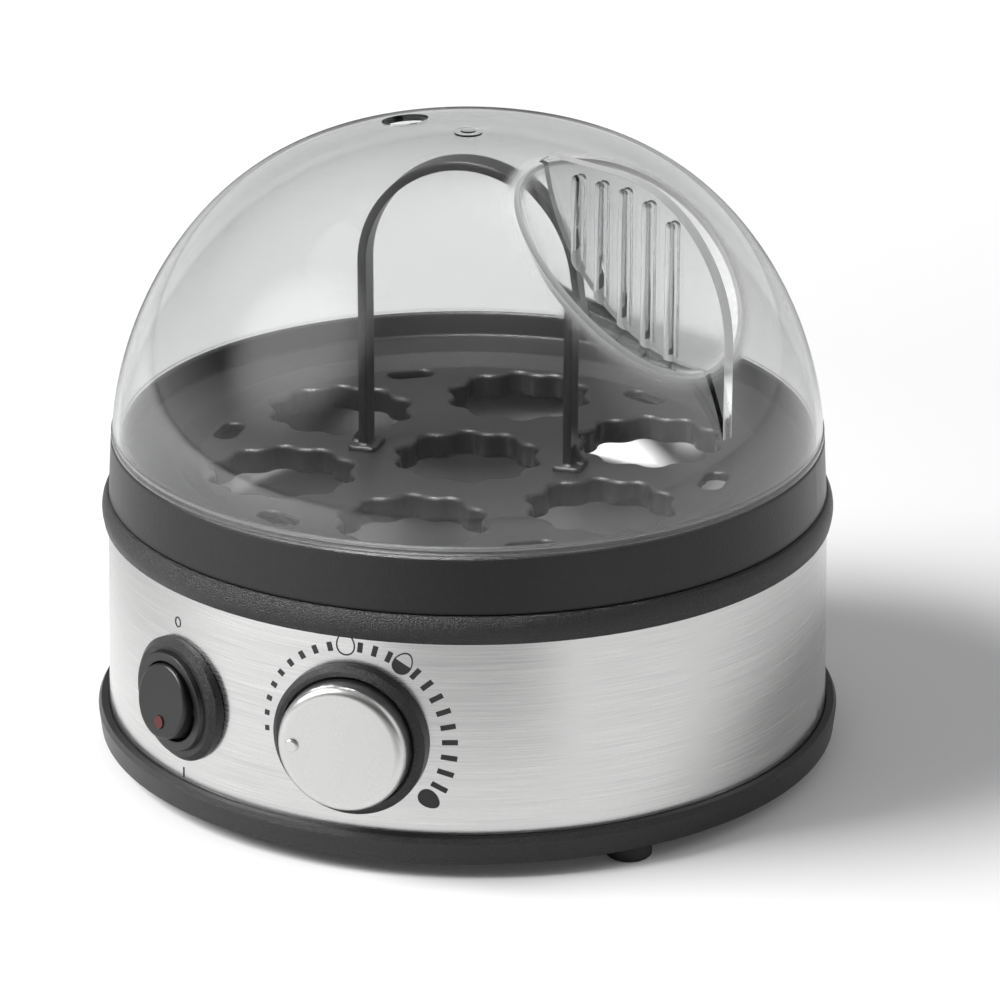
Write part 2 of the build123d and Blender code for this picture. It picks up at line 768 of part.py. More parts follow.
# Egg tray: outer wall with the lid's shoulder, stepped floor, and seven scalloped seats
with BuildPart() as egg_tray:
    with BuildSketch(Plane.XZ):
        with BuildLine():
            Polyline(
                (0, plate_z),
                (plate_radius, plate_z),
                (plate_radius + ramp_width, plate_z + ramp_height),
                (lip_inner_radius, plate_z + ramp_height + 0.4),
                (lip_inner_radius, lip_top_z - 0.4),
                (lip_inner_radius + 0.4, lip_top_z),
                (lip_outer_radius - 0.4, lip_top_z),
                (lip_outer_radius, lip_top_z - 0.4),
                (lip_outer_radius, shoulder_z),
                (tray_shoulder_radius - 0.4, shoulder_z),
                (tray_shoulder_radius, shoulder_z - 0.4),
                (tray_foot_radius, collar_top_z + 0.4),
                (tray_foot_radius - 0.4, collar_top_z),
                (tray_foot_radius - tray_wall, collar_top_z),
                (tray_foot_radius - tray_wall - 0.4, plate_z),
                (well_radius - lift_gap, plate_z),
                (well_radius - lift_gap, spigot_low_z + 0.4),
                (well_radius - lift_gap - 0.4, spigot_low_z),
                (well_radius - lift_gap - spigot_thickness, spigot_low_z),
                (well_radius - lift_gap - spigot_thickness, plate_low_z + ramp_height),
                (plate_radius + ramp_width + 0.8, plate_low_z + ramp_height),
                (plate_radius + 0.8, plate_low_z),
                (0, plate_low_z),
                close=True,
            )
        make_face()
    revolve(axis=Axis.Z)
    for place in egg_places:
        with BuildSketch(Plane.XY.offset(plate_z - sleeve_depth)):
            with BuildLine():
                scallop_sketch(place, egg_hole_radius + sleeve_wall, egg_lobe_rise, egg_lobes)
            make_face()
    extrude(amount=sleeve_depth - plate_thickness / 2)
    for place in egg_places:
        with BuildSketch(Plane.XY.offset(plate_z - sleeve_depth)):
            with BuildLine():
                scallop_sketch(place, egg_hole_radius, egg_lobe_rise, egg_lobes)
            make_face()
    extrude(amount=sleeve_depth + 1, mode=Mode.SUBTRACT)
    hole_rims = [
        edge for edge in egg_tray.edges().filter_by(GeomType.CIRCLE)
        if abs(edge.center().Z - plate_z) < 0.01 and edge.length < 3 * egg_hole_radius
    ]
    fillet(hole_rims, hole_edge)
    with BuildSketch(Plane.XY.offset(plate_low_z)):
        with PolarLocations(tray_slot_circle, egg_ring_count):
            SlotOverall(tray_slot_length, tray_slot_width, rotation=90)
    extrude(amount=plate_thickness, mode=Mode.SUBTRACT)
    with BuildSketch(Plane.XY.offset(plate_low_z)):
        with Locations((-handle_half_span, 0), (handle_half_span, 0)):
            Rectangle(handle_thickness + 2 * seat_gap + 2 * handle_barb, handle_width + 2 * seat_gap)
    extrude(amount=plate_thickness, mode=Mode.SUBTRACT)
egg_tray.part.label = "egg_tray"

# Arched strap handle clipped into the tray's plate
handle_outer = handle_half_span + handle_thickness / 2
handle_inner = handle_half_span - handle_thickness / 2
handle_spring_z = handle_top_z - handle_outer
with BuildPart() as tray_handle:
    with BuildSketch(Plane.XZ):
        with BuildLine():
            Line((-handle_outer, plate_z), (-handle_outer, handle_spring_z))
            ThreePointArc((-handle_outer, handle_spring_z), (0, handle_top_z), (handle_outer, handle_spring_z))
            Polyline((handle_outer, handle_spring_z), (handle_outer, plate_z), (handle_inner, plate_z),
                     (handle_inner, handle_spring_z))
            ThreePointArc((handle_inner, handle_spring_z), (0, handle_top_z - handle_thickness),
                          (-handle_inner, handle_spring_z))
            Polyline((-handle_inner, handle_spring_z), (-handle_inner, plate_z), (-handle_outer, plate_z))
        make_face()
    extrude(amount=handle_width / 2, both=True)
    with BuildSketch(Plane.XY.offset(plate_z)):
        with Locations((-handle_half_span, 0), (handle_half_span, 0)):
            RectangleRounded(handle_foot_size - 2.5, handle_foot_size, 1.2)
    extrude(amount=handle_foot_thickness)
    for side in (-1, 1):
        with BuildSketch(Plane.XZ):
            with BuildLine():
                Polyline(
                    (side * handle_half_span, plate_z + handle_foot_thickness),
                    (side * (handle_outer + handle_gusset * 0.6), plate_z + handle_foot_thickness),
                    (side * handle_outer, plate_z + handle_foot_thickness + handle_gusset),
                    (side * handle_half_span, plate_z + handle_foot_thickness + handle_gusset),
                    close=True,
                )
            make_face()
        extrude(amount=0.8, both=True)
        with BuildSketch(Plane.XZ):
            with BuildLine():
                Polyline(
                    (side * handle_inner, plate_z),
                    (side * handle_outer, plate_z),
                    (side * handle_outer, plate_low_z),
                    (side * (handle_outer + handle_barb + 2 * seat_gap + 0.6), plate_low_z),
                    (side * handle_outer, plate_low_z - handle_barb_height),
                    (side * handle_inner, plate_low_z - handle_barb_height),
                    close=True,
                )
            make_face()
        extrude(amount=handle_width / 2, both=True)
tray_handle.part.label = "tray_handle"


def dome_points(radius, height, steps=9):
    """Points of the dome's half profile, from its rim to its crown."""
    points = []
    for step in range(steps + 1):
        angle = radians(90.0) * step / steps
        points.append((
            radius * cos(angle) ** lid_side_power,
            shoulder_z + height * sin(angle) ** lid_crown_power,
        ))
    points[-1] = (0, shoulder_z + height)
    return points


def dome_solid(radius, height):
    """A full dome that stands on the tray's shoulder."""
    with BuildPart() as dome:
        with BuildSketch(Plane.XZ):
            with BuildLine():
                Spline(*dome_points(radius, height), tangents=[(0, 1), (-1, 0)])
                Polyline((0, shoulder_z + height), (0, shoulder_z), (radius, shoulder_z))
            make_face()
        revolve(axis=Axis.Z)
    return dome.part


def dome_z_at(distance):
    """Height of the dome's outer face at a distance from its axis."""
    angle = acos((distance / lid_radius) ** (1 / lid_side_power))
    return shoulder_z + lid_height * sin(angle) ** lid_crown_power


fin_way = Vector(*around(1, fin_azimuth))
fin_side = fin_way.cross(Vector(0, 0, 1))
fin_plane = Plane(origin=(0, 0, 0), x_dir=fin_way, z_dir=fin_side)
scoop_z = shoulder_z + scoop_centre_height


def scoop_solid(growth):
    """Spheroid that hollows the lid for the fingers, with its short axis across the fin."""
    across = scoop_half_width + growth
    along = scoop_radius + growth
    centre = fin_way * scoop_centre_radius + Vector(0, 0, scoop_z)
    lying = Plane(origin=centre, x_dir=fin_side, z_dir=fin_way.cross(fin_side))
    with BuildPart() as scoop:
        with BuildSketch(lying):
            with BuildLine():
                EllipticalCenterArc((0, 0), across, along, arc_size=180)
                Line((-across, 0), (across, 0))
            make_face()
        revolve(axis=Axis(origin=centre, direction=fin_side))
    return scoop.part


def scoop_floor_z(distance):
    """Height of the scoop's floor beside the fin, at a distance from the lid's axis."""
    return scoop_z - sqrt(scoop_radius ** 2 - (distance - scoop_centre_radius) ** 2)


def fin_top_z(distance):
    """Height of the fin's rounded outline at a distance from the lid's axis."""
    top = crown_z + fin_above_crown
    corner = fin_outer_radius - fin_round
    if distance <= corner:
        return top
    return top - fin_round + sqrt(fin_round ** 2 - (distance - corner) ** 2)


outer_dome = dome_solid(lid_radius, lid_height)
inner_dome = dome_solid(lid_radius - lid_wall, lid_height - lid_wall)
scoop_wall = scoop_solid(lid_wall)

# The two finger scoops: one spheroid with the fin's slab left standing
with BuildPart() as finger_scoops:
    add(scoop_solid(0))
    with BuildSketch(fin_plane):
        Rectangle(4 * lid_radius, 4 * lid_radius)
    extrude(amount=fin_thickness / 2, both=True, mode=Mode.SUBTRACT)

# The room under the dome, kept clear of the scoops' walls
with BuildPart() as lid_room:
    add(inner_dome)
    add(scoop_wall, mode=Mode.SUBTRACT)

# Clear lid: dome with a ribbed finger fin standing in a scooped recess, and a steam vent opposite
with BuildPart() as lid:
    add(outer_dome)
    with BuildSketch(Plane.XY.offset(shoulder_z)):
        Circle(lid_radius + lid_flange_reach)
    extrude(amount=lid_flange_height)
    fin_top = crown_z + fin_above_crown
    fin_low = shoulder_z + lid_height * 0.12
    with BuildSketch(fin_plane):
        with BuildLine():
            Polyline(
                (fin_inner_radius, fin_low),
                (fin_inner_radius, dome_z_at(fin_inner_radius) - lid_wall / 2),
                (fin_inner_radius + 5.0, fin_top),
                (fin_outer_radius - fin_round, fin_top),
            )
            RadiusArc((fin_outer_radius - fin_round, fin_top), (fin_outer_radius, fin_top - fin_round), fin_round)
            Polyline((fin_outer_radius, fin_top - fin_round), (fin_outer_radius, fin_low), (fin_inner_radius, fin_low))
        make_face()
    extrude(amount=fin_thickness / 2, both=True)
    add(finger_scoops.part, mode=Mode.SUBTRACT)
    for turn in range(rib_count):
        distance = rib_first + rib_pitch * turn
        rib_low = scoop_floor_z(distance) - 3.0
        rib_high = fin_top_z(distance) - rib_margin - rib_radius
        for side in (-1, 1):
            foot = fin_way * distance + fin_side * (side * (fin_thickness / 2 - rib_sink))
            with BuildSketch(Plane.XY.offset(rib_low)):
                with Locations((foot.X, foot.Y)):
                    Circle(rib_radius)
            extrude(amount=rib_high - rib_low)
            with Locations((foot.X, foot.Y, rib_high)):
                Sphere(rib_radius)
    with BuildSketch(Plane.XY.offset(crown_z - 1)):
        Circle(crown_nub_radius)
    extrude(amount=1 + crown_nub_height)
    with BuildSketch(Plane.XY.offset(crown_z)):
        Circle(crown_tip_radius)
    extrude(amount=crown_tip_height, taper=crown_tip_slope)
    add(lid_room.part, mode=Mode.SUBTRACT)
    vent_x, vent_y, vent_z = around(vent_hole_circle, vent_azimuth, dome_z_at(vent_hole_circle))
    with BuildSketch(Plane.XY.offset(vent_z - 4 * lid_wall)):
        with Locations((vent_x, vent_y)):
            Circle(vent_hole_radius)
    extrude(amount=8 * lid_wall, mode=Mode.SUBTRACT)
lid.part.label = "lid"

pieces = [
    base_tray, rubber_feet, cover_screws, steel_band, upper_collar, heating_dish, dish_seal,
    heat_spreader, heating_element, thermostat, thermal_fuse, clamp_stud, clamp_bridge, clamp_nut,
    terminal_block, cord_gland, dial_surround, dial_regulator, regulator_nut, regulator_shaft,
    dial_knob, switch_bezel, switch_body, switch_rocker, indicator_lens, egg_tray, tray_handle, lid,
]
# The dial stands out in front, so all pieces move back until the origin is below the overall middle
front_reach = dial_band_radius + knob_height + pointer_height
table_shift = (front_reach - skirt_wide_radius) / 2
os.makedirs("parts", exist_ok=True)
for piece in pieces:
    placed = piece.part.translate((0, table_shift, 0))
    placed.label = piece.part.label
    export_step(placed, f"parts/{placed.label}.step")
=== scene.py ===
"""Electric egg cooker: steel-banded base, dark egg tray with an arched handle, clear domed lid."""

from math import cos, pi, radians, sin, sqrt

import bmesh
import bpy
from mathutils import Matrix, Vector


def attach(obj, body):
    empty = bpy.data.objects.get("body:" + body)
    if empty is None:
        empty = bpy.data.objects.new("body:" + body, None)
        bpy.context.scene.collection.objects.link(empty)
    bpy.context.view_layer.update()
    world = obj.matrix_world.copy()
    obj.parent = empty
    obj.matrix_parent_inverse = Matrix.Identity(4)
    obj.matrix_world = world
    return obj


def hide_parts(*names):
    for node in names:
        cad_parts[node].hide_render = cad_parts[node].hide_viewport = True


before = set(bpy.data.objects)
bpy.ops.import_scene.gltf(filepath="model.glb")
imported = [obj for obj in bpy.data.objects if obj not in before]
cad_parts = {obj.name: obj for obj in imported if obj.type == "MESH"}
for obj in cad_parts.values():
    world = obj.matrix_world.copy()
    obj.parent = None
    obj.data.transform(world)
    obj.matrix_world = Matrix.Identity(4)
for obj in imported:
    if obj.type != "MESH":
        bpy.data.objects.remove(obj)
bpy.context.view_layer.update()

# Base tray, upper collar, cord bush and terminal block
# Black injection-moulded ABS. The mould was spark-eroded, so the black is never quite flat: a fine
# grain breaks its highlights into specks. The grain is drawn a few times coarser than it is, to show.


def linear(hex_code):
    """An sRGB hex colour as the linear values that a shader takes."""
    parts = [int(hex_code[i:i + 2], 16) / 255 for i in (0, 2, 4)]
    return tuple(p / 12.92 if p <= 0.04045 else ((p + 0.055) / 1.055) ** 2.4 for p in parts) + (1.0,)


def add_node(material, kind, inputs=(), **settings):
    """Adds a shader node, sets its options, and fills or links its inputs by name or number."""
    node = material.node_tree.nodes.new("ShaderNode" + kind)
    for name, value in settings.items():
        setattr(node, name, value)
    for name, value in dict(inputs).items():
        if isinstance(value, bpy.types.NodeSocket):
            material.node_tree.links.new(value, node.inputs[name])
        else:
            node.inputs[name].default_value = value
    return node


def named_material(name):
    """An empty material with its surface shader and its output."""
    material = bpy.data.materials.new(name)
    material.use_nodes = True
    material.node_tree.nodes.clear()
    surface = add_node(material, "BsdfPrincipled")
    add_node(material, "OutputMaterial", {"Surface": surface.outputs["BSDF"]})
    return material, surface


def link(material, source, surface, name):
    """Feeds a socket of the surface shader."""
    material.node_tree.links.new(source, surface.inputs[name])


def moulded_black(name, pit, lift, roughness, grain_mm, bump, edge_mm=0.4, gloss=0.5):
    """Plastic or rubber from a grained mould: two tones a hair apart, the grain's relief, edges
    with a small radius, and a gloss that wanders over patches as wide as a thumb."""
    grain_height, patch_mm, wander = 0.0005, 28.0, 0.06
    material, surface = named_material(name)
    place = add_node(material, "TexCoord").outputs["Object"]
    grain = add_node(material, "TexNoise",
                     {"Vector": place, "Scale": 1000 / grain_mm, "Detail": 2.0, "Roughness": 0.6})
    patches = add_node(material, "TexNoise", {"Vector": place, "Scale": 1000 / patch_mm, "Detail": 3.0})
    tone = add_node(material, "ValToRGB", {"Fac": grain.outputs["Fac"]})
    tone.color_ramp.elements[0].position = 0.35
    tone.color_ramp.elements[0].color = linear(pit)
    tone.color_ramp.elements[1].position = 0.72
    tone.color_ramp.elements[1].color = linear(lift)
    dull = add_node(material, "MapRange", {"Value": patches.outputs["Fac"],
                                           "To Min": roughness - wander, "To Max": roughness + wander})
    edge = add_node(material, "Bevel", {"Radius": edge_mm / 1000}, samples=4)
    relief = add_node(material, "Bump", {"Height": grain.outputs["Fac"], "Strength": bump,
                                         "Distance": grain_height, "Normal": edge.outputs["Normal"]})
    link(material, tone.outputs["Color"], surface, "Base Color")
    link(material, dull.outputs["Result"], surface, "Roughness")
    link(material, relief.outputs["Normal"], surface, "Normal")
    surface.inputs["IOR"].default_value = 1.53
    surface.inputs["Specular IOR Level"].default_value = gloss
    return material


def finish_node(name, material):
    """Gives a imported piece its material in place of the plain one."""
    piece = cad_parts[name]
    piece.data.materials.clear()
    piece.data.materials.append(material)


grained_abs = moulded_black("spark_grained_abs", "0b0b0c", "1d1d1e", 0.33, 0.38, 0.8)
for base_node in ("base_tray", "cord_gland", "terminal_block", "upper_collar"):
    finish_node(base_node, grained_abs)

# Rubber feet
# Three plain moulded rubber plugs, pressed into the floor. Rubber is duller than the plastic
# round it.
finish_node("rubber_feet", moulded_black("moulded_rubber", "101010", "1c1c1c", 0.7, 0.8, 0.3))

# Steel band
# A strip of stainless steel, brushed lengthways before it was rolled into a ring, so its fine
# lines run round the base and smear every highlight up and down. They are drawn wider, to show.
line_mm, run_mm, line_depth = 0.16, 24, 0.00003
band_steel, band_surface = named_material("brushed_stainless_strip")
band_place = add_node(band_steel, "TexCoord").outputs["Object"]
band_drawn = add_node(band_steel, "Mapping",
                      {"Vector": band_place, "Scale": (1000 / run_mm, 1000 / run_mm, 1000 / line_mm)})
brush_lines = add_node(band_steel, "TexNoise", {"Vector": band_drawn.outputs["Vector"], "Scale": 1.0,
                                                "Detail": 2.0, "Roughness": 0.6})
band_tone = add_node(band_steel, "ValToRGB", {"Fac": brush_lines.outputs["Fac"]})
band_tone.color_ramp.elements[0].position = 0.3
band_tone.color_ramp.elements[0].color = linear("c1c1c1")
band_tone.color_ramp.elements[1].position = 0.7
band_tone.color_ramp.elements[1].color = linear("dbdbda")
band_dull = add_node(band_steel, "MapRange", {"Value": brush_lines.outputs["Fac"], "From Min": 0.3,
                                              "From Max": 0.7, "To Min": 0.19, "To Max": 0.29})
band_relief = add_node(band_steel, "Bump", {"Height": brush_lines.outputs["Fac"], "Strength": 0.05,
                                            "Distance": line_depth})
round_axis = add_node(band_steel, "Tangent", direction_type="RADIAL", axis="Z")
link(band_steel, band_tone.outputs["Color"], band_surface, "Base Color")
link(band_steel, band_dull.outputs["Result"], band_surface, "Roughness")
link(band_steel, band_relief.outputs["Normal"], band_surface, "Normal")
link(band_steel, round_axis.outputs["Tangent"], band_surface, "Tangent")
band_surface.inputs["Metallic"].default_value = 1.0
band_surface.inputs["Anisotropic"].default_value = 0.5
band_surface.inputs["Anisotropic Rotation"].default_value = 0.25
finish_node("steel_band", band_steel)

# Water dish
# Pressed from thin stainless sheet and polished, so it mirrors the tray above it. The pressing
# leaves faint rings round its middle.
ring_mm, ring_depth = 2.856, 0.0001
dish_steel, dish_surface = named_material("polished_pressed_steel")
dish_place = add_node(dish_steel, "TexCoord").outputs["Object"]
dish_rings = add_node(dish_steel, "TexWave", {"Vector": dish_place, "Scale": 100 * pi / ring_mm,
                                              "Distortion": 0.6, "Detail": 2.0},
                      wave_type="RINGS", rings_direction="Z")
dish_relief = add_node(dish_steel, "Bump", {"Height": dish_rings.outputs["Fac"], "Strength": 0.12,
                                            "Distance": ring_depth})
link(dish_steel, dish_relief.outputs["Normal"], dish_surface, "Normal")
dish_surface.inputs["Base Color"].default_value = linear("f0f0ef")
dish_surface.inputs["Metallic"].default_value = 1.0
dish_surface.inputs["Roughness"].default_value = 0.38
finish_node("heating_dish", dish_steel)

# Pieces inside the base
# Nothing shows them unless the base is taken apart: zinc-plated steel, cast aluminium, and a
# silicone seal under the dish's flange.


def plain_metal(name, hex_code, roughness, grain_mm):
    """Metal with a soft mottle of the given size."""
    material, surface = named_material(name)
    place = add_node(material, "TexCoord").outputs["Object"]
    mottle = add_node(material, "TexNoise", {"Vector": place, "Scale": 1000 / grain_mm, "Detail": 3.0})
    dull = add_node(material, "MapRange", {"Value": mottle.outputs["Fac"],
                                           "To Min": roughness - 0.08, "To Max": roughness + 0.08})
    link(material, dull.outputs["Result"], surface, "Roughness")
    surface.inputs["Base Color"].default_value = linear(hex_code)
    surface.inputs["Metallic"].default_value = 1.0
    return material


zinc = plain_metal("zinc_plated_steel", "b9bcc0", 0.38, 2.0)
for inner_node in ("cover_screws", "clamp_stud", "clamp_bridge", "clamp_nut", "regulator_nut",
                   "regulator_shaft", "heating_element", "thermal_fuse"):
    finish_node(inner_node, zinc)
finish_node("heat_spreader", plain_metal("cast_aluminium", "a9a9a8", 0.5, 1.2))
finish_node("dish_seal", moulded_black("grey_silicone", "5a5a5a", "6a6a6a", 0.6, 1.0, 0.1))
for inner_node in ("thermostat", "dial_regulator"):
    finish_node(inner_node, grained_abs)

# Dial surround
# A black moulded cup round the knob, trimmed to the band's curve and held by the regulator's nut.
finish_node("dial_surround", grained_abs)

# Dial knob
# A drawn aluminium cap with its pointer bead, bead-blasted and anodised silver: soft, even and
# slightly sparkling. The blasting is drawn coarser than it is, to show.
blast_mm, blast_depth = 0.2, 0.00003
satin_aluminium, knob_surface = named_material("satin_anodised_aluminium")
knob_place = add_node(satin_aluminium, "TexCoord").outputs["Object"]
blast = add_node(satin_aluminium, "TexNoise", {"Vector": knob_place, "Scale": 1000 / blast_mm, "Detail": 1.0})
blast_tone = add_node(satin_aluminium, "ValToRGB", {"Fac": blast.outputs["Fac"]})
blast_tone.color_ramp.elements[0].position = 0.3
blast_tone.color_ramp.elements[0].color = linear("c9c9c8")
blast_tone.color_ramp.elements[1].position = 0.7
blast_tone.color_ramp.elements[1].color = linear("d6d6d5")
blast_relief = add_node(satin_aluminium, "Bump", {"Height": blast.outputs["Fac"], "Strength": 0.06,
                                                  "Distance": blast_depth})
link(satin_aluminium, blast_tone.outputs["Color"], knob_surface, "Base Color")
link(satin_aluminium, blast_relief.outputs["Normal"], knob_surface, "Normal")
knob_surface.inputs["Metallic"].default_value = 1.0
knob_surface.inputs["Roughness"].default_value = 0.3
finish_node("dial_knob", satin_aluminium)

# Rocker switch
# A snap-in appliance switch: smooth black nylon rocker and body in a grained black bezel, with a
# clear red lens over its lamp. The lens is faceted inside, so its red is broken up.
facet_mm, facet_depth = 0.6, 0.0002
smooth_nylon = moulded_black("smooth_black_nylon", "101011", "161617", 0.34, 0.5, 0.1)
finish_node("switch_bezel", grained_abs)
finish_node("switch_body", smooth_nylon)
finish_node("switch_rocker", smooth_nylon)
red_lens, lens_surface = named_material("clear_red_lens")
lens_place = add_node(red_lens, "TexCoord").outputs["Object"]
lens_facets = add_node(red_lens, "TexVoronoi", {"Vector": lens_place, "Scale": 1000 / facet_mm})
lens_relief = add_node(red_lens, "Bump", {"Height": lens_facets.outputs["Distance"], "Strength": 0.3,
                                          "Distance": facet_depth})
link(red_lens, lens_relief.outputs["Normal"], lens_surface, "Normal")
lens_surface.inputs["Base Color"].default_value = linear("4c0805")
lens_surface.inputs["Roughness"].default_value = 0.2
finish_node("indicator_lens", red_lens)

# Egg tray and its handle
# Dark polypropylene with a satin skin, smoother and less glossy than the base's plastic. The lips
# of its seats and slots are well rounded, so each carries a thin highlight.
tray_plastic = moulded_black("satin_polypropylene", "0c0c0c", "151515", 0.3, 0.45, 0.22, 1.3, 0.36)
finish_node("egg_tray", tray_plastic)
finish_node("tray_handle", tray_plastic)

# Lid
# Injection-moulded clear polystyrene, 1.6 mm thick and glossy inside and out, so it shows as
# bright rims, soft reflections and a faint grey where the eye looks along the wall. Its rims, ribs
# and scoop edges are partly painted pale: a painted sheen where the skin is made less clear.
flow_mm, flow_depth = 35.0, 0.001
clear_styrene, lid_surface = named_material("clear_polystyrene")
lid_place = add_node(clear_styrene, "TexCoord").outputs["Object"]
lid_flow = add_node(clear_styrene, "TexNoise", {"Vector": lid_place, "Scale": 1000 / flow_mm, "Detail": 1.0})
lid_relief = add_node(clear_styrene, "Bump", {"Height": lid_flow.outputs["Fac"], "Strength": 0.04,
                                              "Distance": flow_depth})
# The edge satin roughens the skin and takes away some of its clearness, so its white base colour shows: a
# painted sheen on rims, ribs and the back scoop.
lid_edge = add_node(clear_styrene, "Attribute", attribute_name="edge_satin_and_painted_sheen").outputs["Fac"]
lid_polish = add_node(clear_styrene, "MapRange", {"Value": lid_edge, "To Min": 0.02, "To Max": 0.24})
lid_clearness = add_node(clear_styrene, "MapRange", {"Value": lid_edge, "To Min": 1.0, "To Max": 0.45})
link(clear_styrene, lid_relief.outputs["Normal"], lid_surface, "Normal")
link(clear_styrene, lid_polish.outputs["Result"], lid_surface, "Roughness")
link(clear_styrene, lid_clearness.outputs["Result"], lid_surface, "Transmission Weight")
lid_surface.inputs["Base Color"].default_value = linear("f7f7f7")
lid_surface.inputs["IOR"].default_value = 1.55
lid_depth = add_node(clear_styrene, "VolumeAbsorption", {"Color": linear("e4e6e6"), "Density": 150.0})
lid_output = next(node for node in clear_styrene.node_tree.nodes if node.type == "OUTPUT_MATERIAL")
clear_styrene.node_tree.links.new(lid_depth.outputs["Volume"], lid_output.inputs["Volume"])

axis_y = 0.0031267  # the dome's axis stands this far behind the frame's origin
lid_radius, lid_height, lid_wall, shoulder_z = 0.0863, 0.0745, 0.0016, 0.079
side_power, crown_power = 0.7277, 1.199
crown = shoulder_z + lid_height
fin_turn, fin_thickness, fin_outer, fin_inner = radians(62.6), 0.003, 0.0832, 0.022
fin_round, fin_nose_long, fin_nose_deep = 0.035, 0.005, 0.004
fin_foot, fin_top = shoulder_z + lid_height * 0.12, crown + 0.0006
up = Vector((0, 0, 1))
fin_way = Vector((sin(fin_turn), -cos(fin_turn), 0))
fin_side = fin_way.cross(up)
scoop_reach, scoop_rise, scoop_radius, scoop_half_width = 0.0732, 0.0814, 0.048, 0.0353
scoop_centre = fin_way * scoop_reach + Vector((0, 0, shoulder_z + scoop_rise))


def spun(profile, steps):
    """A closed solid of revolution round the vertical axis, from a half profile."""
    solid = bmesh.new()
    chain = [solid.verts.new((x, 0, z)) for x, z in profile]
    edges = [solid.edges.new(pair) for pair in zip(chain, chain[1:])]
    bmesh.ops.spin(solid, geom=chain + edges, cent=(0, 0, 0), axis=(0, 0, 1), angle=2 * pi,
                   steps=steps, use_merge=True)
    bmesh.ops.remove_doubles(solid, verts=solid.verts, dist=1e-7)
    bmesh.ops.recalc_face_normals(solid, faces=solid.faces)
    return solid


def dome(radius, height, foot=()):
    """A solid dome on the tray's shoulder, on the superellipse that the lid's outline follows."""
    profile = [(0.0, shoulder_z)] + list(foot)
    foot_top = foot[-1][1] if foot else shoulder_z - 0.001
    for step in range(80):
        turn = pi / 2 * step / 80
        level = shoulder_z + height * sin(turn) ** crown_power
        if level > foot_top:
            profile.append((radius * cos(turn) ** side_power, level))
    return spun(profile + [(0.0, shoulder_z + height)], 240)


def spheroid(growth):
    """The finger scoops' spheroid, with its short axis across the fin."""
    solid = bmesh.new()
    bmesh.ops.create_uvsphere(solid, u_segments=128, v_segments=72, radius=1.0)
    size = Matrix.Diagonal((scoop_radius + growth, scoop_radius + growth, scoop_half_width + growth, 1))
    turned = Matrix((fin_way, up, fin_side)).transposed().to_4x4()
    bmesh.ops.transform(solid, matrix=Matrix.Translation(scoop_centre) @ turned @ size, verts=solid.verts)
    bmesh.ops.recalc_face_normals(solid, faces=solid.faces)
    return solid


def fin_slab(outline):
    """An upright plate as thick as the fin, from distances from the axis and heights."""
    solid = bmesh.new()
    ring = [solid.verts.new(fin_way * x + Vector((0, 0, z)) - fin_side * fin_thickness / 2)
            for x, z in outline]
    face = solid.faces.new(ring)
    grown = bmesh.ops.extrude_face_region(solid, geom=[face])["geom"]
    moved = [item for item in grown if isinstance(item, bmesh.types.BMVert)]
    bmesh.ops.translate(solid, vec=fin_side * fin_thickness, verts=moved)
    bmesh.ops.recalc_face_normals(solid, faces=solid.faces)
    return solid


def rod(radius, low, high, place, rounded=True):
    """An upright rod with a rounded or flat top."""
    profile = [(0.0, low), (radius, low)]
    if rounded:
        turns = [pi / 20 * step for step in range(10)]
        profile += [(radius * cos(turn), high + radius * sin(turn)) for turn in turns]
    else:
        profile += [(radius, high)]
    solid = spun(profile + [(0.0, high + radius * rounded)], 32)
    bmesh.ops.translate(solid, vec=place, verts=solid.verts)
    return solid


def as_object(name, solid):
    """Puts a solid into the scene so that a Boolean modifier can use it."""
    data = bpy.data.meshes.new(name)
    solid.to_mesh(data)
    solid.free()
    piece = bpy.data.objects.new(name, data)
    bpy.context.scene.collection.objects.link(piece)
    return piece


def combine(piece, operation, solid):
    """Joins or cuts a piece with a solid, and applies the result."""
    tool = as_object("tool", solid)
    step = piece.modifiers.new("step", "BOOLEAN")
    step.operation = operation
    step.solver = "EXACT"
    step.object = tool
    result = bpy.data.meshes.new_from_object(piece.evaluated_get(bpy.context.evaluated_depsgraph_get()))
    piece.modifiers.clear()
    old = piece.data
    piece.data = result
    bpy.data.meshes.remove(old)
    bpy.data.objects.remove(tool)


def taken(piece):
    """The mesh of a finished piece, whose object is removed."""
    solid = bmesh.new()
    solid.from_mesh(piece.data)
    bpy.data.objects.remove(piece)
    return solid


# The two scoops are one spheroid, in which the fin is left standing. Under the dome they show as
# a bulge of the same wall.
far, high = 0.2, 0.3
scoops = as_object("scoops", spheroid(0.0))
combine(scoops, "DIFFERENCE", fin_slab([(-far, 0.0), (far, 0.0), (far, high), (-far, high)]))
under_dome = as_object("under_dome", dome(lid_radius - lid_wall, lid_height - lid_wall))
combine(under_dome, "DIFFERENCE", spheroid(lid_wall))

foot_bead = [(lid_radius + out, shoulder_z + rise) for out, rise in (
    (0.0, 0.0), (0.00018, 0.00006), (0.00025, 0.00022), (0.00025, 0.00135), (0.00018, 0.00153),
    (-0.00005, 0.0016))]
clear_lid = as_object("clear_lid", dome(lid_radius, lid_height, foot_bead))
fin_outline = [(fin_inner, fin_foot), (fin_inner, fin_top - fin_nose_deep),
               (fin_inner + fin_nose_long, fin_top)]
for turn in [pi / 2 * step / 40 for step in range(41)]:
    fin_outline.append((fin_outer - fin_round + fin_round * sin(turn),
                        fin_top - fin_round + fin_round * cos(turn)))
fin_outline.append((fin_outer, fin_foot))
combine(clear_lid, "UNION", fin_slab(fin_outline))
combine(clear_lid, "DIFFERENCE", taken(scoops))

